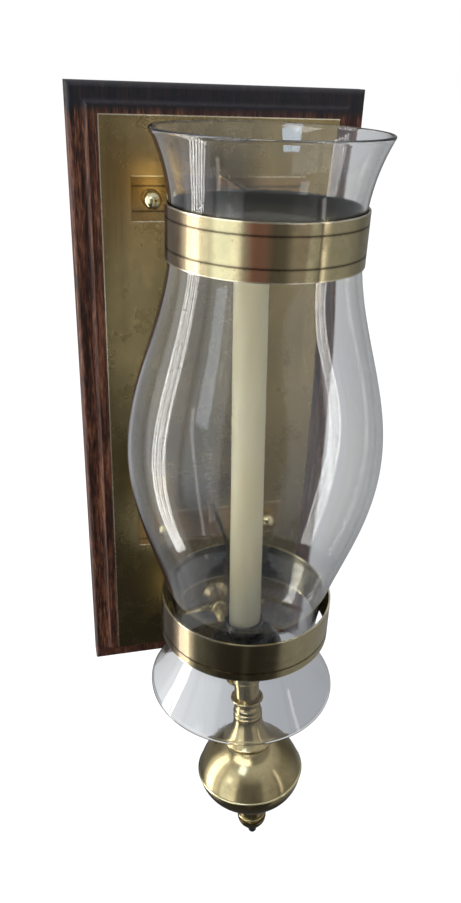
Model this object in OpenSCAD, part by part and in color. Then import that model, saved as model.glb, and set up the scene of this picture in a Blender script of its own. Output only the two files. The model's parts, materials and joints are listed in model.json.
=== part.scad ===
// Wall sconce for one taper candle: a moulded mahogany board faced with sheet brass, two brass
// straps that hold a glass hurricane shade, and an arm with a turned brass stem under the candle.
// Axes: +X right, +Z up, the wall is the plane Y = 0 and the sconce stands out toward -Y.
// The origin is where the wall screw bears in the hanger, on the back of the board.

/* [Backboard] */
// Width of the board
board_w = 198; // [190:1:210]
// Height of the board
board_h = 460; // [450:1:480]
// Thickness of the board
board_t = 20; // [18:0.5:24]
// Height of the board's top edge above the hanger
board_top = 45; // [40:1:50]
// Width of the moulding on the front edge
mould_w = 13; // [11:0.5:14]
// Depth of the moulding below the flat field
mould_drop = 4.2; // [3:0.1:5]

/* [Brass plate] */
// Width of the brass facing plate
plate_w = 160; // [150:1:162]
// Height of the brass facing plate
plate_h = 427; // [415:1:428]
// Thickness of the sheet
plate_t = 1.2; // [0.8:0.1:2]
// Wood left showing above the plate
plate_margin = 18; // [17:0.5:20]

/* [Straps] */
// Height of the brass strip
strap_h = 29.4; // [26:0.2:32]
// Thickness of the brass strip
strap_t = 1.2; // [1:0.1:1.4]
// Distance from the plate's face to the axis of the glass
axis_reach = 110; // [105:1:120]
// Outer radius of the upper ring
upper_ring_r = 55.4; // [55.4:0.1:57]
// Outer radius of the lower ring
lower_ring_r = 58.3; // [56:0.1:60]
// Middle height of the upper strap
upper_strap_z = -23.8; // [-25:0.1:-22]
// Middle height of the lower strap
lower_strap_z = -280.4; // [-282:0.1:-278]
// Gap between the two legs of a strap
leg_gap = 3; // [2:0.1:4]
// Distance from the middle to the outer end of a tab
tab_reach = 60; // [55:1:65]
// Distance from a tab's outer end to its screw
tab_screw_inset = 13; // [10:0.5:15]
// Radius of a screw's ball head
ball_head_r = 6; // [4.5:0.1:6.5]

/* [Glass shade] */
// Wall of the glass
glass_t = 2.2; // [1.8:0.1:2.6]
// Outer radius of the top rim
rim_r = 64.4; // [60:0.2:68]
// Height of the top rim above the hanger
rim_z = 28; // [24:1:34]
// Outer radius of the neck in the upper ring
neck_r = 53; // [50:0.2:53.4]
// Outer radius of the bulge
bulge_r = 78.8; // [70:0.2:82]
// Height of the widest part of the bulge
bulge_z = -156; // [-170:1:-140]
// Outer radius of the lower neck
waist_r = 49.6; // [47:0.2:51]
// Outer radius of the open foot
foot_r = 66.5; // [60:0.2:70]
// Height of the open foot
foot_z = -345; // [-348:1:-342]
// How late the top flare opens, as an exponent
flare_power = 2.3; // [1.8:0.1:3]
// How late the foot opens, as an exponent
skirt_power = 1.9; // [1.6:0.1:2.4]

/* [Candle] */
// Radius of the candle at its foot
candle_r = 11.1; // [10.5:0.1:11.3]
// Radius of the candle at its shoulder
candle_top_r = 10.6; // [9:0.1:10.8]
// Length of the wax
candle_l = 264; // [200:1:280]
// Lean of the candle's top toward the wall, as it sits in its socket
candle_back_lean = 5; // [4.6:0.1:6]
// Lean of the candle's top to the left
candle_side_lean = 0.4; // [0.2:0.1:2]

/* [Stem] */
// Height of the socket's seat, about which the stem leans
socket_z = -304; // [-306:1:-302]
// Distance of the socket to the right of the shade's axis
socket_x = 0.8; // [0:0.1:1.5]
// Lean of the stem's foot out from the wall
stem_out_lean = 6; // [4:0.1:6.2]
// Lean of the stem's foot to the right
stem_side_lean = 3; // [1:0.1:3.1]
// Radius of the bore that takes the candle
socket_bore_r = 12; // [11.9:0.05:12.2]
// Radius of the skirt below the socket
skirt_r = 27; // [24:0.5:29]
// Radius of the plain barrel that the arm enters
barrel_r = 9.1; // [8.5:0.1:10]
// Radius of the ball
ball_r = 40; // [38:0.5:42]

/* [Arm] */
// Radius of the arm
arm_r = 5.4; // [4.5:0.1:5.6]
// Radius of the disc on the arm, behind the stem
disc_r = 12; // [9:0.5:13]
// Radius of the rosette against the plate
rosette_r = 13; // [10:0.5:15]

/* [Hidden] */
$fn = 96;

field_y = -board_t;
plate_y = field_y - plate_t;
axis_y = plate_y - axis_reach;
plate_top = board_top - plate_margin;
screw_x = tab_reach - tab_screw_inset;
shank_r = 1.5;
shank_l = 15;
clear_r = 1.7;
groove_w = 0.9;
groove_d = 0.35;
cut = 1;

// Stations of the glass, each a height and an outer radius
rim = [rim_z, rim_r];
neck = [-23.4, neck_r];
bulge = [bulge_z, bulge_r];
waist = [-296, waist_r];
foot = [foot_z, foot_r];

// Stem levels, measured down from the socket's seat along the stem
cup_top = 12.4;
cup_floor = -8;
cup_foot = -12.3;
top_nut_h = 2.6;
skirt_top = 3.2;
skirt_foot = -14.6;
barrel_top = -41.7;
barrel_foot = -57.4;
neck_foot = -73.4;
ball_mid = -130.8;
seam = -123;
bead_h = 2.2;
knob_foot = -183.4;
tip_foot = -192.4;
knob_r = 11.4;
tip_r = 3.3;

// Radius of the ball at its seam, and the bowl below it, which ends on the knob
seam_r = sqrt(pow(ball_r, 2) - pow(seam - ball_mid, 2));
bowl_r = seam_r - 0.1;
bowl_depth = 27.6;
bowl_end = acos(knob_r / bowl_r);
knob_top = seam - bead_h / 2 - bowl_depth * sin(bowl_end);
rod_r = 2;
rod_clear_r = 2.2;
wall = 1.2;
arm_level = -48.3;
arm_x = socket_x - arm_level * cos(stem_out_lean) * sin(stem_side_lean);
arm_out = -axis_y - arm_level * sin(stem_out_lean);
arm_z = socket_z + arm_level * cos(stem_out_lean) * cos(stem_side_lean);
tenon_r = 3.8;
tenon_end = 3.2;
stud_r = 4;
nut_pocket_r = 13;
nut_pocket_d = 9;

// Points along a circular arc from angle a0 to a1
function arc(c, r, a0, a1, n = 12) =
    [for (i = [0:n]) let (a = a0 + (a1 - a0) * i / n) c + r * [cos(a), sin(a)]];

// Smooth swing between two stations of the glass, flat at both ends
function swing(a, b, t) = a + (b - a) * (1 - cos(180 * t)) / 2;

// Outer radius of the glass at height z
function glass_r(z) =
    z > neck[0] ? neck[1] + (rim[1] - neck[1]) * pow((z - neck[0]) / (rim[0] - neck[0]), flare_power)
    : z > bulge[0] ? swing(neck[1], bulge[1], (neck[0] - z) / (neck[0] - bulge[0]))
    : z > waist[0] ? swing(bulge[1], waist[1], (bulge[0] - z) / (bulge[0] - waist[0]))
    : waist[1] + (foot[1] - waist[1]) * pow((waist[0] - z) / (waist[0] - foot[0]), skirt_power);

// Places a child on the glass's axis
module on_axis() {
    translate([0, axis_y, 0]) children();
}

// Places a child on the leaning stem, with Z = 0 at the socket's seat
module on_stem() {
    translate([socket_x, axis_y, socket_z]) rotate([-stem_out_lean, -stem_side_lean, 0]) children();
}

// Places a child on the candle's own leaning axis, with Z = 0 at the socket's seat
module on_candle() {
    translate([socket_x, axis_y, socket_z]) rotate([-candle_back_lean, -candle_side_lean, 0]) children();
}

// Places a child on the arm's axis, with Z running out from the wall
module on_arm() {
    translate([arm_x, 0, arm_z]) rotate([90, 0, 0]) children();
}

// Repeats a child at both screws of a strap, with Z running out from the wall
module at_screws(strap_z) {
    for (side = [-1, 1])
        translate([side * screw_x, plate_y - strap_t, strap_z]) rotate([90, 0, 0]) children();
}

// Section of the waste outside the moulding: x inward from the board's edge, y down from the field
module mould_waste() {
    nose_r = 3.5;
    cove_r = mould_drop - 0.6;
    difference() {
        translate([-cut, -cut]) square([mould_w + cut, mould_drop + nose_r + cut]);
        translate([nose_r, mould_drop]) square([mould_w, nose_r + cut]);
        translate([nose_r, mould_drop + nose_r]) circle(nose_r);
        difference() {
            translate([mould_w - cove_r, 0]) square([cove_r + cut, mould_drop + cut]);
            translate([mould_w - cove_r, mould_drop - cove_r]) circle(cove_r);
            translate([mould_w - cove_r, -cut]) square([cove_r, cut + mould_drop - cove_r]);
        }
    }
}

// Waste of the moulding along one edge: the edge lies at distance half from the board's middle
module mould_cut(half, turn) {
    rotate([0, turn, 0]) translate([0, field_y, half]) rotate([0, 90, 0])
        linear_extrude(1.2 * board_h, center = true) mould_waste();
}

module hanger_pocket() {
    translate([-20, -2.2, -22]) cube([40, 2.2 + cut, 32]);
    translate([-8, -11, -16]) cube([16, 11 + cut, 22]);
}

module backboard() {
    middle_z = board_top - board_h / 2;
    color([0.26, 0.12, 0.07]) difference() {
        translate([-board_w / 2, -board_t, board_top - board_h]) cube([board_w, board_t, board_h]);
        translate([0, 0, middle_z]) for (side = [0, 180]) {
            mould_cut(board_h / 2, side);
            mould_cut(board_w / 2, side + 90);
        }
        hanger_pocket();
        for (side = [-1, 1])
            translate([side * 14.5, 0, 5]) rotate([90, 0, 0]) cylinder(r = 1.3, h = 14);
        for (z = [upper_strap_z, lower_strap_z], side = [-1, 1])
            translate([side * screw_x, field_y - cut, z]) rotate([-90, 0, 0]) cylinder(r = shank_r, h = 13);
        on_arm() cylinder(r = stud_r, h = board_t + cut);
        on_arm() translate([0, 0, -cut]) cylinder(r = nut_pocket_r, h = nut_pocket_d + cut);
    }
}

module brass_plate() {
    color([0.42, 0.37, 0.25]) difference() {
        translate([-plate_w / 2, plate_y, plate_top - plate_h]) cube([plate_w, plate_t, plate_h]);
        for (z = [upper_strap_z, lower_strap_z]) at_screws(z) translate([0, 0, -5]) cylinder(r = clear_r, h = 9);
        on_arm() cylinder(r = stud_r, h = board_t + 5);
    }
}

// Plan of a strap: a ring split at the back, two legs and two tabs, with the axis at the origin
module strap_plan(r) {
    leg_x = leg_gap / 2;
    bend_r = 2.5;
    leg_end = axis_reach - bend_r;
    difference() {
        union() {
            difference() {
                circle(r);
                circle(r - strap_t);
            }
            for (side = [-1, 1]) scale([side, 1]) {
                translate([leg_x, r - strap_t]) square([strap_t, leg_end - r + strap_t]);
                translate([leg_x + bend_r, axis_reach - strap_t])
                    square([tab_reach - leg_x - bend_r, strap_t]);
                translate([leg_x + bend_r, axis_reach - bend_r]) intersection() {
                    difference() {
                        circle(bend_r);
                        circle(bend_r - strap_t);
                    }
                    translate([-bend_r, 0]) square(bend_r);
                }
            }
        }
        translate([-leg_x, 0]) square([leg_gap, axis_reach + cut]);
    }
}

// A strap of the given ring radius and middle height, with lines cut at the given fractions
module strap(r, strap_z, lines) {
    difference() {
        on_axis() translate([0, 0, strap_z - strap_h / 2]) linear_extrude(strap_h) strap_plan(r);
        for (line = lines) translate([0, axis_y, strap_z + strap_h * (0.5 - line) - groove_w / 2]) {
            difference() {
                cylinder(r = r + cut, h = groove_w);
                translate([0, 0, -cut]) cylinder(r = r - groove_d, h = groove_w + 2 * cut);
                translate([-r, r - 2, -cut]) cube([2 * r, r, groove_w + 2 * cut]);
            }
            for (side = [0, 1]) mirror([side, 0, 0])
                translate([leg_gap / 2 + 2.5, axis_reach - strap_t - cut, 0])
                    cube([tab_reach, cut + groove_d, groove_w]);
        }
        at_screws(strap_z) translate([0, 0, -5]) cylinder(r = clear_r, h = 9);
    }
}

module upper_strap() {
    color([0.72, 0.62, 0.36]) strap(upper_ring_r, upper_strap_z, [0.22, 0.76]);
}

module lower_strap() {
    color([0.5, 0.43, 0.27]) strap(lower_ring_r, lower_strap_z, [0.79]);
}

// Two ball-headed screws of a strap
module strap_screws(strap_z) {
    color([0.76, 0.66, 0.4]) at_screws(strap_z) {
        translate([0, 0, ball_head_r * 0.8]) difference() {
            sphere(ball_head_r);
            translate([0, 0, -ball_head_r * 1.8]) cube(2 * ball_head_r, center = true);
        }
        translate([0, 0, -shank_l + 1]) cylinder(r = shank_r, h = shank_l);
    }
}

module upper_strap_screws() {
    strap_screws(upper_strap_z);
}

module lower_strap_screws() {
    strap_screws(lower_strap_z);
}

module glass_shade() {
    steps = 90;
    lip = glass_t / 2;
    top = rim[0] - lip;
    base = foot[0] + lip;
    levels = [for (i = [0:steps]) top + (base - top) * i / steps];
    outer = [for (z = levels) [glass_r(z), z]];
    inner = [for (i = [steps:-1:0]) [glass_r(levels[i]) - glass_t, levels[i]]];
    color([0.85, 0.88, 0.9, 0.35]) on_axis() rotate_extrude() polygon(concat(
        outer, arc([glass_r(base) - lip, base], lip, -20, -160, 7),
        inner, arc([glass_r(top) - lip, top], lip, 160, 20, 7)
    ));
}

module candle() {
    shoulder = 4;
    foot_z = cup_floor + 0.8;
    color([0.9, 0.86, 0.7]) on_candle() difference() {
        rotate_extrude() polygon(concat(
            [[0, foot_z], [candle_r - 0.6, foot_z], [candle_r, foot_z + 0.6]],
            arc([candle_top_r - shoulder, foot_z + candle_l - shoulder], shoulder, 0, 75),
            [[0, foot_z + candle_l - 0.8]]
        ));
        translate([0, 0, foot_z + candle_l - 6]) cylinder(r = 0.9, h = 12);
    }
}

module wick() {
    wick_z = cup_floor + 0.8 + candle_l - 6;
    color([0.12, 0.11, 0.1]) on_candle() translate([0, 0, wick_z]) cylinder(r = 0.85, h = 16);
}

module candle_socket() {
    lip_r = 0.7;
    color([0.16, 0.16, 0.17]) on_stem() difference() {
        union() {
            translate([0, 0, cup_foot]) cylinder(r = socket_bore_r + wall, h = cup_top - cup_foot);
            translate([0, 0, cup_top]) rotate_extrude() translate([socket_bore_r + lip_r, 0]) circle(lip_r);
        }
        translate([0, 0, cup_floor]) cylinder(r = socket_bore_r, h = cup_top - cup_floor + 2);
        translate([0, 0, cup_foot - cut]) cylinder(r = rod_clear_r, h = cup_floor - cup_foot + 2 * cut);
        translate([0, 0, cup_floor - top_nut_h - 0.2]) cylinder(r = 5.4, h = top_nut_h + cut);
    }
}

// Domed skirt under the socket, which hides the nuts and catches wax
module socket_skirt() {
    throat = socket_bore_r + wall + 0.05;
    dome = arc([throat + 1, skirt_foot + 1.2], skirt_r - throat - 1, 0, 90, 14);
    squash = (skirt_top - skirt_foot - 1.2) / (skirt_r - throat - 1);
    outer = [for (p = dome) [p[0], skirt_foot + 1.2 + (p[1] - skirt_foot - 1.2) * squash]];
    inner = [for (i = [len(outer) - 1:-1:0]) outer[i] - [wall, wall]];
    color([0.13, 0.13, 0.14]) on_stem() rotate_extrude() union() {
        polygon(concat(outer, [[throat, skirt_top], [throat, skirt_top - wall]], inner));
        translate([skirt_r - wall / 2, skirt_foot + 0.8]) circle(0.9);
    }
}

// Cup-shaped collar between the socket and the barrel
module stem_collar() {
    waist_h = 21;
    base_h = 10;
    color([0.66, 0.57, 0.33]) on_stem() difference() {
        union() {
            translate([0, 0, cup_foot - waist_h]) cylinder(r = 7.5, h = waist_h);
            translate([0, 0, cup_foot - 3]) cylinder(r = 11, h = 3);
            translate([0, 0, barrel_top + base_h]) cylinder(r1 = 10.2, r2 = 7.5, h = 7);
            translate([0, 0, barrel_top]) cylinder(r = 9.6, h = base_h);
            translate([0, 0, barrel_top + base_h - 2]) rotate_extrude() translate([9.4, 0]) circle(1.2);
            translate([0, 0, barrel_top + 2.5]) rotate_extrude() translate([9.2, 0]) circle(0.9);
        }
        translate([0, 0, barrel_top - cut]) cylinder(r = rod_clear_r, h = 40);
    }
}

// Barrel with the socket for the arm's tenon, standing on a thin flange
module stem_barrel() {
    flange_h = 2.2;
    flange_r = 12;
    color([0.7, 0.61, 0.36]) difference() {
        on_stem() translate([0, 0, barrel_foot]) difference() {
            union() {
                cylinder(r = barrel_r, h = barrel_top - barrel_foot);
                cylinder(r = flange_r - flange_h / 2, h = flange_h);
                translate([0, 0, flange_h / 2]) rotate_extrude() translate([flange_r - flange_h / 2, 0])
                    circle(flange_h / 2);
            }
            translate([0, 0, -cut]) cylinder(r = rod_clear_r, h = barrel_top - barrel_foot + 2 * cut);
        }
        on_arm() translate([0, 0, arm_out - 2 * barrel_r]) cylinder(r = tenon_r, h = 2 * barrel_r);
    }
}

// Concave neck with two beads under it
module stem_neck() {
    neck_top = barrel_foot;
    neck_body_r = 9.9;
    cove = 3.6;
    color([0.68, 0.59, 0.35]) on_stem() difference() {
        union() {
            translate([0, 0, neck_foot]) cylinder(r = neck_body_r, h = neck_top - neck_foot);
            translate([0, 0, neck_foot + 4.9]) rotate_extrude() translate([9, 0]) circle(1.6);
            translate([0, 0, neck_foot + 1.5]) rotate_extrude() translate([9.2, 0]) circle(1.5);
        }
        translate([0, 0, neck_top - 4.6]) rotate_extrude() translate([neck_body_r + 2.5, 0]) circle(cove);
        translate([0, 0, neck_foot - cut]) cylinder(r = rod_clear_r, h = neck_top - neck_foot + 2 * cut);
    }
}

// Spun bell: a trumpet that flares into a bead, which rests on the ball
module stem_bell() {
    bell_r = 19.2;
    lip_r = 1.1;
    throat_r = barrel_r + 1.6;
    flare = 2.3;
    lip_mid_r = bell_r - lip_r;
    lip_level = ball_mid + sqrt(pow(ball_r + lip_r + 0.02, 2) - pow(lip_mid_r, 2));
    drop = neck_foot - lip_level - lip_r * sin(60);
    side = [for (i = [0:20]) let (t = i / 20)
        [throat_r + (lip_mid_r + lip_r * cos(60) - throat_r) * pow(t, flare), neck_foot - drop * t]];
    inner = [for (i = [19:-1:2]) side[i] - [wall, 0]];
    lip = arc([lip_mid_r, lip_level], lip_r, 40, -200, 12);
    color([0.6, 0.52, 0.32]) on_stem() rotate_extrude() polygon(concat(
        [[rod_clear_r, neck_foot]], side, lip, inner, [[rod_clear_r, side[2][1]]]
    ));
}

module ball_upper_half() {
    color([0.74, 0.65, 0.4]) on_stem() difference() {
        translate([0, 0, ball_mid]) sphere(ball_r);
        translate([0, 0, ball_mid]) sphere(ball_r - wall);
        translate([0, 0, ball_mid]) cylinder(r = rod_clear_r, h = 2 * ball_r);
        translate([0, 0, seam + bead_h / 2 - 3 * ball_r]) cylinder(r = 2 * ball_r, h = 3 * ball_r);
    }
}

// Bead that covers the joint between the two halves
module ball_seam_bead() {
    proud = 0.8;
    color([0.78, 0.69, 0.42]) on_stem() translate([0, 0, seam]) rotate_extrude() {
        translate([seam_r - wall, -bead_h / 2]) square([wall + proud - bead_h / 2, bead_h]);
        translate([seam_r + proud - bead_h / 2, 0]) circle(bead_h / 2);
    }
}

// Lower bowl of the ball, flatter than the upper half
module ball_lower_half() {
    top = seam - bead_h / 2;
    outer = [for (i = [0:20]) let (a = bowl_end * i / 20) [bowl_r * cos(a), top - bowl_depth * sin(a)]];
    inner = [for (i = [20:-1:0]) let (a = bowl_end * i / 20)
        [(bowl_r - wall) * cos(a), top - (bowl_depth - wall) * sin(a)]];
    color([0.5, 0.43, 0.26]) on_stem() rotate_extrude() polygon(concat(
        outer, [[rod_clear_r, outer[20][1]], [rod_clear_r, inner[0][1]]], inner
    ));
}

// Knob under the ball: a drum with a ring at its foot, a hollow, a bead and a round base
module finial_knob() {
    ring_level = -163.2;
    bead_level = -171.2;
    base_level = -173.4;
    base_r = 11.3;
    color([0.7, 0.61, 0.37]) on_stem() difference() {
        union() {
            translate([0, 0, ring_level]) cylinder(r = knob_r - 0.6, h = knob_top - ring_level);
            translate([0, 0, ring_level]) rotate_extrude() translate([knob_r - 1.1, 0]) circle(1.1);
            translate([0, 0, base_level]) cylinder(r = 9.9, h = ring_level - base_level);
            translate([0, 0, bead_level]) rotate_extrude() translate([9.9, 0]) circle(1.2);
            translate([0, 0, base_level]) difference() {
                sphere(base_r);
                cylinder(r = 2 * base_r, h = 2 * base_r);
                translate([0, 0, knob_foot - base_level - 2 * base_r]) cylinder(r = 2 * base_r, h = 2 * base_r);
            }
        }
        translate([0, 0, knob_foot - cut]) cylinder(r = rod_clear_r, h = knob_top - knob_foot + 2 * cut);
    }
}

module tie_rod() {
    rod_foot = tip_foot + tip_r;
    color([0.35, 0.34, 0.33]) on_stem() translate([0, 0, rod_foot])
        cylinder(r = rod_r, h = cup_floor - 0.2 - rod_foot);
}

module tie_rod_top_nut() {
    color([0.4, 0.4, 0.4]) on_stem() translate([0, 0, cup_floor - top_nut_h - 0.2]) difference() {
        cylinder(r = 5.2, h = top_nut_h, $fn = 6);
        translate([0, 0, -cut]) cylinder(r = rod_r, h = 6);
    }
}

module tip_nut() {
    color([0.1, 0.09, 0.08]) on_stem() difference() {
        union() {
            translate([0, 0, tip_foot + tip_r]) cylinder(r = tip_r, h = knob_foot - tip_foot - tip_r);
            translate([0, 0, tip_foot + tip_r]) sphere(tip_r);
        }
        translate([0, 0, tip_foot + tip_r]) cylinder(r = rod_r, h = 30);
    }
}

// Arm from the rosette to the stem, with a disc just behind the barrel
module arm() {
    face = board_t + plate_t;
    shoulder_out = arm_out - barrel_r - 1.7;
    disc_out = shoulder_out - 5.8;
    disc_h = 3;
    color([0.64, 0.55, 0.32]) on_arm() {
        translate([0, 0, face + 8]) cylinder(r = arm_r, h = shoulder_out - face - 8);
        translate([0, 0, disc_out]) cylinder(r = disc_r - disc_h / 2, h = disc_h);
        translate([0, 0, disc_out + disc_h / 2]) rotate_extrude() translate([disc_r - disc_h / 2, 0])
            circle(disc_h / 2);
        translate([0, 0, face + 20]) rotate_extrude() translate([arm_r - 0.4, 0]) circle(1.4);
        translate([0, 0, nut_pocket_d - 6]) cylinder(r = stud_r, h = face + 14 - nut_pocket_d);
        translate([0, 0, face + 20]) cylinder(r = tenon_r, h = arm_out - face - 20 - tenon_end);
    }
}

// Turned rosette through which the arm leaves the plate
module arm_rosette() {
    face = board_t + plate_t;
    color([0.72, 0.62, 0.38]) on_arm() translate([0, 0, face]) difference() {
        union() {
            cylinder(r = rosette_r, h = 2);
            translate([0, 0, 2]) cylinder(r1 = rosette_r - 1.5, r2 = arm_r + 1.8, h = 3);
            translate([0, 0, 5]) cylinder(r = arm_r + 1.8, h = 3);
        }
        translate([0, 0, -cut]) cylinder(r = stud_r, h = 12);
    }
}

module arm_washer() {
    color([0.45, 0.44, 0.42]) on_arm() translate([0, 0, nut_pocket_d - 1.5]) difference() {
        cylinder(r = 10, h = 1.5);
        translate([0, 0, -cut]) cylinder(r = stud_r, h = 4);
    }
}

module arm_nut() {
    color([0.5, 0.49, 0.46]) on_arm() translate([0, 0, nut_pocket_d - 6]) difference() {
        cylinder(r = 7.5, h = 4.5, $fn = 6);
        translate([0, 0, -cut]) cylinder(r = stud_r, h = 7);
    }
}

// Steel plate with a keyhole: the wall screw's head enters below and bears at the origin
module hanger_plate() {
    color([0.5, 0.5, 0.5]) difference() {
        translate([-20, -2, -22]) cube([40, 2, 32]);
        translate([0, cut, -11]) rotate([90, 0, 0]) cylinder(r = 5, h = 4);
        translate([0, cut, -2.4]) rotate([90, 0, 0]) cylinder(r = 2.4, h = 4);
        translate([-2.4, -3, -11]) cube([4.8, 4, 8.6]);
        for (side = [-1, 1])
            translate([side * 14.5, cut, 5]) rotate([90, 0, 0]) cylinder(r = 1.5, h = 4);
    }
}

module hanger_screws() {
    color([0.55, 0.55, 0.56]) for (side = [-1, 1])
        translate([side * 14.5, 0, 5]) rotate([90, 0, 0]) {
            translate([0, 0, -0.1]) cylinder(r = 1.3, h = 13);
            translate([0, 0, -0.6]) cylinder(r = 3, h = 0.6);
        }
}

backboard();
brass_plate();
upper_strap();
lower_strap();
upper_strap_screws();
lower_strap_screws();
glass_shade();
candle();
wick();
candle_socket();
socket_skirt();
stem_collar();
stem_barrel();
stem_neck();
stem_bell();
ball_upper_half();
ball_lower_half();
ball_seam_bead();
finial_knob();
tie_rod();
tie_rod_top_nut();
tip_nut();
arm();
arm_rosette();
arm_washer();
arm_nut();
hanger_plate();
hanger_screws();
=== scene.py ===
import json
import math

import bpy
from mathutils import Euler, Matrix, Vector


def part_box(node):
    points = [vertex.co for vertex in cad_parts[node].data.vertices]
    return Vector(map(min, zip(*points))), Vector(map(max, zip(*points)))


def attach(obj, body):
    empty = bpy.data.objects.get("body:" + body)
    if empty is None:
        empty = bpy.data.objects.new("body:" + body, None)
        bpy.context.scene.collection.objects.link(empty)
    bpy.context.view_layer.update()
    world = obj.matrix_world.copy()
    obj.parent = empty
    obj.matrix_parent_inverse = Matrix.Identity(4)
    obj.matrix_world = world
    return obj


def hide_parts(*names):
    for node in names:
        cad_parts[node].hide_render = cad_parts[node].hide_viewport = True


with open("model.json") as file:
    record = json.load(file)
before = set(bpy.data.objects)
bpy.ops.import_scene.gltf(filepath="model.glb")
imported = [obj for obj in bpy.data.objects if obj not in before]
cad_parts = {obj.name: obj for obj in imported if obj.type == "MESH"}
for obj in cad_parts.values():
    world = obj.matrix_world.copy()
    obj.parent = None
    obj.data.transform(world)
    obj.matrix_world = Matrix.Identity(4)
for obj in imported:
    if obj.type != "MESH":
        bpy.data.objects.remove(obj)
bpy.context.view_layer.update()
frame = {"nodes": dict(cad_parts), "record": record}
nodes = frame["nodes"]

# ---------------------------------------------------------------- places, in metres in the shared frame
shade_lo, shade_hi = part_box("glass_shade")
AXIS_X = (shade_lo.x + shade_hi.x) / 2
AXIS_Y = (shade_lo.y + shade_hi.y) / 2
SOCKET_ASIDE = 0.0008                               # the socket stands this far right of the shade's axis
SEAT = (AXIS_X + SOCKET_ASIDE, AXIS_Y, -0.304)      # the candle's foot, about which stem and candle lean
STEM_LEAN = (math.radians(-6.0), math.radians(-3.0), 0.0)
CANDLE_LEAN = (math.radians(-5.0), math.radians(-0.4), 0.0)
PLUMB = (0.0, 0.0, 0.0)
BETWEEN_STRAPS = -0.15                              # a height that parts the upper strap from the lower
UPPER_RING_MID, LOWER_RING_MID = 0.0547, 0.0576     # radius of the middle of each ring's wall
LINE_X = 0.0114                                     # the upper ring's dark upright line, right of the seat
WARM_GLOW_MIDDLE = (-0.056, 0.11, 0.285)                  # the middle of the painted warm glow on the plate, measured from the seat
TOP_SHADE_DEPTH = 0.016                                 # depth of the painted shade along the board's top edge


# ---------------------------------------------------------------- small shader language
def rgba(value):
    """A bare colour gets its alpha; anything else stays as it is."""
    return (*value, 1) if isinstance(value, tuple) and len(value) == 3 else value


class Nodes:
    """Short calls that add nodes to one tree and give back the sockets they end in."""

    def __init__(self, tree):
        self.t = tree

    def link(self, value, socket):
        if isinstance(value, bpy.types.NodeSocket):
            self.t.links.new(value, socket)
        else:
            socket.default_value = value

    def add(self, kind, **inputs):
        n = self.t.nodes.new(kind)
        for name, value in inputs.items():
            self.link(value, n.inputs[name.replace("_", " ")])
        return n

    def xyz(self, v):
        return self.add("ShaderNodeSeparateXYZ", Vector=v).outputs

    def stretch(self, v, scale):
        return self.add("ShaderNodeMapping", Vector=v, Scale=scale).outputs[0]

    def distance(self, v, point):
        n = self.t.nodes.new("ShaderNodeVectorMath")
        n.operation = "DISTANCE"
        self.link(v, n.inputs[0])
        self.link(point, n.inputs[1])
        return n.outputs["Value"]

    def noise(self, v, scale, detail=4.0, rough=0.55, distort=0.0):
        n = self.add("ShaderNodeTexNoise", Vector=v, Scale=scale, Detail=detail, Roughness=rough,
                     Distortion=distort)
        return n.outputs["Fac"]

    def ramp(self, fac, *stops):
        """stops are (place, value or colour)."""
        n = self.add("ShaderNodeValToRGB", Fac=fac)
        elements = n.color_ramp.elements
        while len(elements) < len(stops):
            elements.new(0.5)
        for e, (place, c) in zip(elements, stops):
            e.position = place
            e.color = rgba(c) if isinstance(c, tuple) else (c, c, c, 1)
        return n.outputs[0]

    def mix(self, fac, a, b):
        n = self.t.nodes.new("ShaderNodeMix")
        n.data_type = "RGBA"
        self.link(fac, n.inputs[0])
        self.link(rgba(a), n.inputs[6])
        self.link(rgba(b), n.inputs[7])
        return n.outputs[2]

    def math(self, op, a, b=0.0, c=0.0):
        n = self.t.nodes.new("ShaderNodeMath")
        n.operation = op
        for value, socket in zip((a, b, c), n.inputs):
            self.link(value, socket)
        return n.outputs[0]

    def times(self, a, b):
        return self.math("MULTIPLY", a, b)

    def scaled(self, a, factor, offset):
        return self.math("MULTIPLY_ADD", a, factor, offset)

    def blend(self, a, share_a, b, share_b):
        return self.math("ADD", self.times(a, share_a), self.times(b, share_b))

    def radius(self, x, y):
        return self.math("SQRT", self.math("ADD", self.times(x, x), self.times(y, y)))

    def gap(self, a, b):
        return self.math("ABSOLUTE", self.math("SUBTRACT", a, b))

    def paint(self, colour, tint, *masks):
        """Lays the tint over the colour, as strongly as the masks' product."""
        strength = masks[0]
        for mask in masks[1:]:
            strength = self.times(strength, mask)
        return self.mix(strength, colour, tint)

    def either(self, masks):
        found = masks[0]
        for mask in masks[1:]:
            found = self.math("MAXIMUM", found, mask)
        return found


class Material(Nodes):
    """One material's node tree, ending in its Principled shader."""

    def __init__(self, name):
        self.m = bpy.data.materials.new(name)
        self.m.use_nodes = True
        super().__init__(self.m.node_tree)

    def where(self, origin=(0, 0, 0), lean=PLUMB):
        """Object coordinates, seen from a point and along a leaning axis."""
        c = self.add("ShaderNodeTexCoord").outputs["Object"]
        n = self.add("ShaderNodeMapping", Vector=c, Location=origin, Rotation=lean)
        n.vector_type = "TEXTURE"
        return n.outputs[0]

    def bump(self, height, strength, distance, **normal):
        return self.add("ShaderNodeBump", Height=height, Strength=strength, Distance=distance,
                        **normal).outputs[0]

    def set(self, **values):
        bsdf = self.t.nodes["Principled BSDF"]
        for name, value in values.items():
            socket = bsdf.inputs[name.replace("_", " ")]
            self.link(rgba(value) if socket.type == "RGBA" else value, socket)
        return self.m


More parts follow.
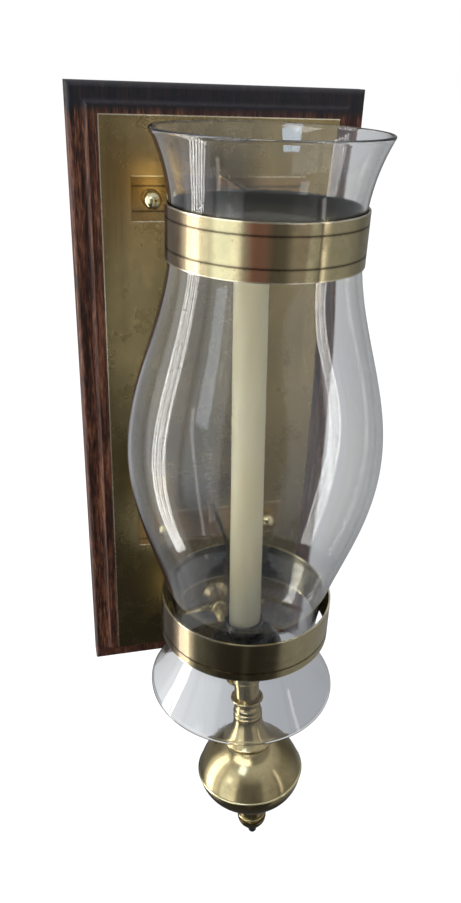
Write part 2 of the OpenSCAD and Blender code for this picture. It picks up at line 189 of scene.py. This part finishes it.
# ---------------------------------------------------------------- materials
def brass(name, bright, deep, stain, rough, lean=PLUMB, rings=False, brush=None, tarnish=0.5,
          relief=1.0, extra=None):
    """Old brass: a bright ground, deeper patches, brown stain in spots and specks, and fine tool marks.

    rings gives the marks of a lathe and brush those of a brushed sheet, stretched by its three numbers;
    relief scales the bump, and extra paints what is found on one piece only.
    """
    k = Material(name)
    v = k.where(SEAT, lean)
    cloud = k.noise(v, 22, 5, 0.6, 0.4)
    patch = k.noise(v, 60, 6, 0.65)
    speck = k.noise(v, 420, 3, 0.7)
    tone = k.ramp(k.blend(cloud, 0.65, patch, 0.35), (0.38, deep), (0.62, bright))
    spots = k.ramp(patch, (0.55 - 0.08 * tarnish, 0.0), (0.75, 0.55))
    colour = k.paint(tone, stain, spots)
    colour = k.paint(colour, tuple(c * 0.45 for c in stain), k.ramp(speck, (0.63, 0.0), (0.72, 0.35)))
    if extra:
        colour = extra(k, v, colour)
    marks = speck
    if rings:
        x = k.xyz(v)
        groove = k.add("ShaderNodeCombineXYZ", X=k.times(k.radius(x[0], x[1]), 0.3), Z=x[2]).outputs[0]
        marks = k.blend(k.noise(groove, 1500, 3, 0.6), 0.75, speck, 0.25)
    elif brush:
        marks = k.blend(k.noise(k.stretch(v, brush), 900, 4, 0.65), 0.7, speck, 0.3)
    dull = k.math("ADD", k.times(spots, 0.28), k.scaled(marks, 0.12, rough - 0.06))
    n = k.bump(marks, 0.10 * relief, 0.00012)
    n = k.bump(patch, 0.12 * relief, 0.0006, Normal=n)
    return k.set(Base_Color=colour, Metallic=1.0, Roughness=dull, Normal=n)


def strap_marks(k, v, colour):
    """The straps' stains, painted shade at their rings' left end and inside them, the dirt in the cut lines
    and the worn edges.
    """
    x = k.xyz(v)
    height = k.math("ADD", x[2], SEAT[2])
    on_upper = k.math("GREATER_THAN", height, BETWEEN_STRAPS)
    on_lower = k.math("SUBTRACT", 1.0, on_upper)

    # stains from left to right across the front, with a wavering edge, and painted shade at the left end
    wobble = k.scaled(k.noise(k.stretch(v, (1, 1, 0.25)), 45, 3), 0.012, -0.006)
    across = k.scaled(k.math("ADD", x[0], wobble), 5.0, 0.45)
    copper = k.ramp(across, (0.315, 0.0), (0.335, 0.9), (0.365, 0.75), (0.39, 0.0))
    smoke = k.ramp(across, (0.36, 0.0), (0.38, 0.75), (0.475, 0.65), (0.485, 0.0))
    painted_shade_left_end = k.ramp(across, (0.19, 0.85), (0.25, 0.0))
    upright_line = k.ramp(k.times(k.gap(x[0], LINE_X), 400.0), (0.10, 0.60), (0.45, 0.0))
    tarnish = k.ramp(across, (0.25, 0.0), (0.29, 0.75), (0.46, 0.55), (0.56, 0.0))
    colour = k.paint(colour, (0.52, 0.22, 0.13), copper, on_upper)
    colour = k.paint(colour, (0.22, 0.16, 0.09), smoke, on_upper)
    # painted shade: the left end of both straps darker brown
    colour = k.paint(colour, (0.22, 0.155, 0.10), painted_shade_left_end)
    colour = k.paint(colour, (0.12, 0.075, 0.045), upright_line, on_upper)
    colour = k.paint(colour, (0.20, 0.145, 0.085), tarnish, on_lower)

    # brown toward the wall, and painted shade, nearly black, inside the rings
    by_wall = k.ramp(k.scaled(k.math("ADD", x[1], SEAT[1]), 20.0, 1.4), (0.1, 0.0), (0.75, 1.0))
    colour = k.paint(colour, (0.26, 0.15, 0.045), by_wall, 0.75)
    reach = k.radius(k.math("ADD", x[0], SOCKET_ASIDE), x[1])
    mid_wall = k.scaled(on_upper, UPPER_RING_MID - LOWER_RING_MID, LOWER_RING_MID)
    # painted shade on the inner half of each ring's wall
    colour = k.paint(colour, (0.075, 0.068, 0.042), k.math("LESS_THAN", reach, mid_wall), 0.9)

    # dirt in the cut lines, given as shares of a strap's height from its top, and worn bright edges
    ragged = k.math("ADD", height, k.scaled(k.noise(v, 500, 3), 0.0008, -0.0004))
    soil, worn = [], []
    for strap, cut_lines in (("upper_strap", (0.22, 0.76)), ("lower_strap", (0.79,))):
        lo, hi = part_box(strap)
        for share in cut_lines:
            gap = k.gap(ragged, hi.z - share * (hi.z - lo.z))
            soil.append(k.ramp(k.times(gap, 300.0), (0.10, 0.85), (0.17, 0.25), (0.45, 0.0)))
        worn += [k.math("LESS_THAN", k.gap(ragged, edge), 0.0007) for edge in (lo.z, hi.z)]
    colour = k.paint(colour, (0.80, 0.74, 0.56), k.either(worn), 0.7)
    return k.paint(colour, (0.045, 0.032, 0.020), k.either(soil), 0.9)


def plate_patina(k, v, colour):
    """The plate darkens toward its foot, has a painted warm glow by the upper tab, is streaked, and has a
    painted highlight along two edges.
    """
    x = k.xyz(v)
    drift = k.scaled(k.noise(v, 9, 3), 0.5, -0.25)
    low_down = k.ramp(k.math("ADD", k.scaled(x[2], 2.3, 0.22), drift), (0.05, 1.0), (0.85, 0.0))
    # a painted warm glow on the plate round the upper left tab
    painted_warm_glow = k.ramp(k.times(k.distance(v, WARM_GLOW_MIDDLE), 9.0), (0.1, 0.45), (0.55, 0.0))
    streak = k.noise(k.stretch(v, (1, 1, 0.05)), 120, 4, 0.6)
    colour = k.paint(colour, (0.10, 0.083, 0.045), low_down, 0.6)
    # lays the painted warm glow round the upper tab
    colour = k.paint(colour, (0.42, 0.24, 0.09), painted_warm_glow)
    colour = k.paint(colour, (0.17, 0.13, 0.065), k.ramp(streak, (0.52, 0.0), (0.72, 0.35)))
    lo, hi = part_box("brass_plate")
    # painted highlight: a bright line along the plate's left and top edges
    rim = k.scaled(k.noise(v, 300, 3), 0.0008, 0.0003)
    left_edge_highlight = k.math("LESS_THAN", k.math("ADD", x[0], SEAT[0] - lo.x), rim)
    top_edge_highlight = k.math("LESS_THAN", k.math("SUBTRACT", hi.z - SEAT[2], x[2]), rim)
    return k.paint(colour, (0.86, 0.78, 0.60), k.either([left_edge_highlight, top_edge_highlight]), 0.9)


def mahogany():
    """Upright grain in three scales, darker drifts, and a painted shade along the top edge."""
    k = Material("mahogany")
    v = k.where()
    drift = k.noise(k.stretch(v, (1, 1, 0.12)), 14, 3, 0.5)
    grain = k.noise(k.stretch(v, (1, 1, 0.06)), 300, 6, 0.65, 0.8)
    fine = k.noise(k.stretch(v, (1, 1, 0.10)), 1000, 4, 0.65)
    rub = k.noise(v, 35, 5, 0.65)
    colour = k.ramp(k.blend(grain, 0.55, fine, 0.45),
                    (0.41, (0.007, 0.003, 0.002)), (0.48, (0.045, 0.014, 0.008)),
                    (0.54, (0.12, 0.042, 0.021)), (0.63, (0.27, 0.12, 0.06)))
    colour = k.paint(colour, (0.030, 0.009, 0.006), k.ramp(drift, (0.40, 0.0), (0.65, 0.40)))
    board_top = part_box("backboard")[1].z
    above_crown = k.math("SUBTRACT", k.xyz(v)[2], board_top - TOP_SHADE_DEPTH)
    painted_top_shade = k.ramp(k.scaled(above_crown, 60.0, 0.5), (0.35, 0.0), (0.65, 0.9))
    # painted shade, blue-black, along the board's top edge
    colour = k.paint(colour, (0.008, 0.010, 0.014), painted_top_shade)
    rough = k.math("ADD", k.scaled(rub, 0.25, 0.26), k.times(fine, 0.15))
    n = k.bump(fine, 0.5, 0.0004)
    n = k.bump(grain, 0.25, 0.0006, Normal=n)
    return k.set(Base_Color=colour, Roughness=rough, Normal=n, Specular_IOR_Level=0.35)


def clear_glass():
    """Clear glass with slow waves, dust, smears, and fine pits at the left of its foot."""
    k = Material("clear_glass")
    v = k.where((AXIS_X, AXIS_Y, 0))
    x = k.xyz(v)
    wave = k.noise(k.stretch(v, (1, 1, 0.35)), 16, 2, 0.4)
    dust = k.noise(v, 700, 3, 0.7)
    smear = k.noise(k.stretch(v, (1, 1, 0.3)), 30, 4, 0.6)
    foot = k.ramp(k.scaled(x[2], -20.0, -5.6), (0.3, 0.0), (0.6, 1.0))      # from z = -0.295 to -0.310
    left = k.ramp(k.scaled(x[0], 10.0, 0.5), (0.02, 0.0), (0.08, 1.0), (0.22, 1.0), (0.30, 0.0))
    pits = k.times(k.times(foot, left), k.noise(v, 520, 3, 0.7))
    n = k.bump(wave, 0.25, 0.004)
    n = k.bump(dust, 0.03, 0.0002, Normal=n)
    n = k.bump(pits, 0.10, 0.0004, Normal=n)
    tint = k.paint((0.985, 0.985, 0.980), (0.84, 0.85, 0.85), k.ramp(dust, (0.66, 0.0), (0.74, 0.25)))
    rough = k.times(k.ramp(smear, (0.55, 0.0), (0.8, 1.0)), 0.05)
    return k.set(Base_Color=tint, Roughness=rough, Normal=n, Transmission_Weight=1.0, IOR=1.5)


def ivory_wax():
    """Wax in milky streaks, mottled, and greyer at the candle's foot."""
    k = Material("ivory_wax")
    v = k.where(SEAT, CANDLE_LEAN)
    milk = k.noise(k.stretch(v, (1, 1, 0.2)), 60, 4, 0.5)
    mottle = k.noise(v, 260, 4, 0.6)
    colour = k.ramp(milk, (0.35, (0.86, 0.76, 0.47)), (0.65, (0.94, 0.87, 0.60)))
    colour = k.paint(colour, (0.42, 0.42, 0.30), k.ramp(k.xyz(v)[2], (0.0, 0.5), (0.05, 0.0)))
    colour = k.paint(colour, (0.62, 0.55, 0.36), k.ramp(mottle, (0.62, 0.0), (0.75, 0.3)))
    n = k.bump(milk, 0.2, 0.0012)
    n = k.bump(mottle, 0.15, 0.0002, Normal=n)
    return k.set(Base_Color=colour, Roughness=k.scaled(milk, 0.25, 0.32), Normal=n,
                 Subsurface_Weight=0.25, Subsurface_Radius=(0.010, 0.006, 0.003), Subsurface_Scale=0.5)


def blackened_metal():
    """Satin black, rubbed to a dull brown in places."""
    k = Material("blackened_metal")
    v = k.where(SEAT, STEM_LEAN)
    rub = k.noise(v, 90, 5, 0.65)
    grit = k.noise(v, 900, 3, 0.7)
    colour = k.ramp(rub, (0.40, (0.006, 0.007, 0.009)), (0.62, (0.016, 0.018, 0.022)),
                    (0.80, (0.07, 0.06, 0.04)))
    return k.set(Base_Color=colour, Metallic=0.15, Roughness=k.scaled(rub, 0.30, 0.12),
                 Normal=k.bump(grit, 0.12, 0.0002))


def plain_steel():
    """Grey steel with upright drawing lines and a little rust."""
    k = Material("plain_steel")
    v = k.where()
    rub = k.noise(v, 120, 5, 0.65)
    lines = k.noise(k.stretch(v, (1, 1, 0.06)), 1200, 3, 0.6)
    colour = k.ramp(rub, (0.35, (0.20, 0.19, 0.18)), (0.60, (0.42, 0.41, 0.40)), (0.80, (0.30, 0.22, 0.15)))
    return k.set(Base_Color=colour, Metallic=1.0, Roughness=k.scaled(lines, 0.20, 0.28),
                 Normal=k.bump(lines, 0.15, 0.0002))


def cotton_wick():
    """Twisted cotton: the strands wind as a sine along the wick."""
    k = Material("cotton_wick")
    x = k.xyz(k.where(SEAT, CANDLE_LEAN))
    twist = k.math("SINE", k.scaled(x[2], 5200.0, k.times(x[0], 3000.0)))
    colour = k.ramp(twist, (0.2, (0.35, 0.32, 0.25)), (0.8, (0.74, 0.70, 0.60)))
    return k.set(Base_Color=colour, Roughness=0.85, Normal=k.bump(twist, 0.4, 0.0002))


MATERIALS = {
    "mahogany": mahogany(),
    "aged_brass_sheet": brass("aged_brass_sheet", (0.40, 0.31, 0.145), (0.29, 0.23, 0.11),
                              (0.14, 0.105, 0.05), 0.24, brush=(1, 1, 0.04), tarnish=0.2, relief=0.15,
                              extra=plate_patina),
    "brushed_brass": brass("brushed_brass", (0.60, 0.53, 0.32), (0.44, 0.385, 0.225),
                           (0.17, 0.13, 0.07), 0.17, brush=(0.06, 0.06, 1), extra=strap_marks),
    "polished_brass": brass("polished_brass", (0.72, 0.65, 0.40), (0.55, 0.49, 0.28),
                            (0.25, 0.19, 0.10), 0.18, lean=STEM_LEAN),
    "turned_brass": brass("turned_brass", (0.50, 0.42, 0.235), (0.32, 0.262, 0.14),
                          (0.14, 0.10, 0.055), 0.17, lean=STEM_LEAN, rings=True),
    "clear_glass": clear_glass(),
    "ivory_wax": ivory_wax(),
    "cotton_wick": cotton_wick(),
    "blackened_metal": blackened_metal(),
    "plain_steel": plain_steel(),
}

for part in frame["record"]["subparts"]:
    mesh = nodes[part["node"]].data
    mesh.materials.clear()
    mesh.materials.append(MATERIALS[part["material_slot"]])


# ---------------------------------------------------------------- the shade, drawn more smoothly
# the profile's turning points, in mm: height, then outer radius
RIM, NECK, BULGE, WAIST, FOOT = (28, 64.4), (-23.4, 53), (-156, 78.8), (-296, 49.6), (-345, 66.5)
RIM_FLARE, FOOT_FLARE = 2.3, 1.9                    # powers of the two flares
WALL, LIP = 2.2, 1.1                                # the glass's thickness and its rounded lips' radius
ROWS, LIP_ROWS, COLUMNS = 260, 8, 224
MM_PER_M = 1000


def shade_radius(z):
    """Outer radius of the glass, in mm, at height z in mm."""
    def share(start, end):
        return (z - start[0]) / (end[0] - start[0])

    def swing(start, end):
        return start[1] + (end[1] - start[1]) * (1 - math.cos(math.pi * share(start, end))) / 2

    if z > NECK[0]:
        return NECK[1] + (RIM[1] - NECK[1]) * share(NECK, RIM) ** RIM_FLARE
    if z > BULGE[0]:
        return swing(NECK, BULGE)
    if z > WAIST[0]:
        return swing(BULGE, WAIST)
    return WAIST[1] + (FOOT[1] - WAIST[1]) * share(WAIST, FOOT) ** FOOT_FLARE


def add_object(name, data):
    o = bpy.data.objects.new(name, data)
    bpy.context.scene.collection.objects.link(o)
    return o


def add_mesh(name, verts, faces, smooth=False):
    mesh = bpy.data.meshes.new(name)
    mesh.from_pydata(verts, [], faces)
    if smooth:
        mesh.shade_smooth()
    return add_object(name, mesh)


def lathe(name, profile, base, lean):
    """A closed profile of (radius, height) in metres, turned smoothly about a leaning axis."""
    turn = Matrix.Translation(base) @ Euler(lean).to_matrix().to_4x4()
    verts, faces = [], []
    n = len(profile)
    for i in range(COLUMNS):
        a = 2 * math.pi * i / COLUMNS
        for r, z in profile:
            verts.append(turn @ Vector((r * math.cos(a), r * math.sin(a), z)))
    for i in range(COLUMNS):
        j = (i + 1) % COLUMNS
        for q in range(n):
            w = (q + 1) % n
            faces.append((i * n + q, i * n + w, j * n + w, j * n + q))
    return add_mesh(name, verts, faces, smooth=True)


def blown_glass():
    """Down the outside, round the foot's lip, up the inside and round the rim's lip."""
    top, base = RIM[0] - LIP, FOOT[0] + LIP
    heights = [top + (base - top) * i / ROWS for i in range(ROWS + 1)]
    outer = [(shade_radius(z), z) for z in heights]
    inner = [(r - WALL, z) for r, z in reversed(outer)]

    def lip(r, z, start, end):
        steps = [math.radians(start + (end - start) * i / LIP_ROWS) for i in range(1, LIP_ROWS)]
        return [(r - LIP + LIP * math.cos(a), z + LIP * math.sin(a)) for a in steps]

    profile = outer + lip(*outer[-1], 0, -180) + inner + lip(*outer[0], 180, 0)
    o = lathe("blown_glass", [(r / MM_PER_M, z / MM_PER_M) for r, z in profile], (AXIS_X, AXIS_Y, 0), PLUMB)
    o.data.materials.append(MATERIALS["clear_glass"])
    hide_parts("glass_shade")
    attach(o, "shade")


blown_glass()

# ---------------------------------------------------------------- floor and lights
FLOOR_Z, FLOOR_HALF = -1.0, 30.0
MIDDLE = (0, -0.13, -0.17)                          # of the sconce
SLAT_DISTANCE, SLAT_ELEVATION, SLAT_HEIGHT = 1.5, -8, 3.0
SLATS = ((-96.5, 0.045, 4.0), (-99.6, 0.025, 1.6), (-102.8, 0.05, 3.3),
         (-106.4, 0.03, 2.2), (-110.0, 0.05, 3.8))  # each slat's azimuth, width and power
SUN_WIDTH = 40                                      # degrees, for soft shadows


def floor():
    """A pale floor that only the camera sees, so nothing of it shows in the brass or the glass."""
    corners = [(-1, -1), (1, -1), (1, 1), (-1, 1)]
    o = add_mesh("floor", [(x * FLOOR_HALF, y * FLOOR_HALF, FLOOR_Z) for x, y in corners], [(0, 1, 2, 3)])
    k = Material("pale_floor")
    tone = k.ramp(k.noise(k.where(), 3, 3), (0.3, (0.90, 0.895, 0.88)), (0.7, (0.92, 0.915, 0.90)))
    o.data.materials.append(k.set(Base_Color=tone, Roughness=0.9))
    o.visible_glossy = o.visible_transmission = o.visible_diffuse = False


def around(azimuth, elevation, distance):
    """A point seen from the sconce: azimuth 0 is straight out from the wall, positive to +X."""
    a, e = math.radians(azimuth), math.radians(elevation)
    return (MIDDLE[0] + distance * math.sin(a) * math.cos(e),
            MIDDLE[1] - distance * math.cos(a) * math.cos(e),
            MIDDLE[2] + distance * math.sin(e))


def lamp(name, kind, at, to, power):
    o = add_object(name, bpy.data.lights.new(name, kind))
    o.data.energy = power
    o.location = at
    o.rotation_euler = (Vector(to) - Vector(at)).to_track_quat("-Z", "Y").to_euler()
    o.visible_camera = False
    return o


def softbox(name, at, to, width, height, power, colour):
    light = lamp(name, "AREA", at, to, power).data
    light.shape = "RECTANGLE"
    light.size, light.size_y = width, height
    light.color = colour


floor()
for slat, (turned, wide, power) in enumerate(SLATS):
    softbox(f"window_slat_{slat}", around(turned, SLAT_ELEVATION, SLAT_DISTANCE),
            around(turned, SLAT_ELEVATION, 0), wide, SLAT_HEIGHT, power, (1.0, 0.99, 0.96))
softbox("window_front_left", around(-42, 43, 1.8), MIDDLE, 0.50, 0.54, 4.2, (0.64, 0.84, 1.1))
softbox("window_sky", around(-63, 9, 1.6), MIDDLE, 0.34, 0.32, 0.55, (0.80, 0.88, 1.0))
softbox("strip_right", around(50, 2, 1.6), MIDDLE, 0.11, 1.4, 0.9, (1.0, 0.93, 0.92))
sun = lamp("soft_sun", "SUN", around(-60, 60, 2), MIDDLE, 1.6)
sun.data.angle = math.radians(SUN_WIDTH)
sun.visible_glossy = False


# ---------------------------------------------------------------- the room round the sconce
COOL = (0.92, 0.98, 1.0)
CEILING = (0.41, 0.42, 0.44)
GROUND = (0.03, 0.03, 0.032)
BACKDROP = (0.5, 0.5, 0.5)
WORLD_STRENGTH = 2.0
# brightness round the room at three levels of ray: (azimuth in degrees, value or colour)
HIGH = ((-180, 0.12), (-127, 0.15), (-119, 0.80), (-84, 0.80), (-80, 0.36), (-74, COOL),
        (-55, tuple(0.92 * c for c in COOL)), (-52, 1.0), (-45, 0.85), (-42, 0.20), (-33, 0.16),
        (-29, 0.12), (1, 0.11), (5, 0.11), (10, 0.17), (14, 0.31), (41, 0.31), (42, 0.09), (45, 0.09),
        (47, 0.22), (62, 0.19), (66, 0.22), (84, 0.20), (112, 0.10), (180, 0.12))
LOW = ((-180, 0.07), (-128, 0.08), (-118, 0.45), (-90, 0.45), (-85, 0.08), (-66, 0.035), (-17, 0.025),
       (-15, 0.06), (-9, 0.06), (-7, 0.025), (33, 0.03), (37, 0.17), (60, 0.15), (125, 0.14), (180, 0.07))
# the same for rays that come through the glass, above and below
BEYOND = ((150, (0.22, 0.227, 0.236)), (155, (0.26, 0.268, 0.278)), (160, (0.27, 0.277, 0.288)),
          (166, (0.36, 0.367, 0.376)), (171, (0.43, 0.436, 0.445)))
BENEATH = ((150, (0.16, 0.166, 0.180)), (160, (0.185, 0.193, 0.208)), (166, (0.27, 0.279, 0.293)),
           (171, (0.37, 0.378, 0.388)))


def studio():
    """A pale room: windows on the left, dark in front and below, a light ceiling, an even backdrop."""
    world = bpy.data.worlds.new("studio")
    bpy.context.scene.world = world
    world.use_nodes = True
    k = Nodes(world.node_tree)
    x, y, z = k.xyz(k.add("ShaderNodeTexCoord").outputs["Generated"])
    azimuth = k.scaled(k.math("ARCTAN2", x, k.times(y, -1.0)), 0.5 / math.pi, 0.5)

    def panorama(stops):
        return k.ramp(azimuth, *(((degrees + 180) / 360, c) for degrees, c in stops))

    def below(bottom, top):
        """1 for rays that dip below bottom and 0 above top, where -1 is straight down."""
        return k.ramp(k.scaled(z, 0.5, 0.5), ((bottom + 1) / 2, 1.0), ((top + 1) / 2, 0.0))

    room = k.mix(below(-0.60, -0.38), panorama(HIGH), panorama(LOW))
    room = k.mix(below(-0.90, -0.76), room, GROUND)
    room = k.mix(k.ramp(z, (0.35, 0.0), (0.75, 1.0)), room, CEILING)
    beyond = k.mix(below(-0.66, -0.54), panorama(BEYOND), panorama(BENEATH))
    path = k.add("ShaderNodeLightPath").outputs
    seen = k.mix(path["Is Transmission Ray"], room, beyond)
    seen = k.mix(path["Is Camera Ray"], seen, BACKDROP)
    background = k.t.nodes["Background"].inputs
    k.link(seen, background["Color"])
    k.link(WORLD_STRENGTH, background["Strength"])


studio()

# ---------------------------------------------------------------- camera, fitted to the photograph's view
CAMERA_AT = (-0.12150, -0.53646, 0.05689)
CAMERA_RIGHT = (0.97110645, -0.23589416, 0.03614138)
CAMERA_UP = (0.07640008, 0.45077576, 0.8893617)
CAMERA_BACK = (-0.22608689, -0.86090369, 0.45577359)
SENSOR_WIDTH = 36.0
FOCAL_SHARE = 755.85 / 903                          # focal length as a share of the picture's height

camera = add_object("camera", bpy.data.cameras.new("camera"))
turned_to = Matrix((CAMERA_RIGHT, CAMERA_UP, CAMERA_BACK)).transposed().to_4x4()
camera.matrix_world = Matrix.Translation(CAMERA_AT) @ turned_to
camera.data.sensor_width = SENSOR_WIDTH
camera.data.lens = FOCAL_SHARE * SENSOR_WIDTH
camera.data.clip_start, camera.data.clip_end = 0.01, 100
bpy.context.scene.camera = camera
bpy.context.scene.view_settings.view_transform = "Standard"
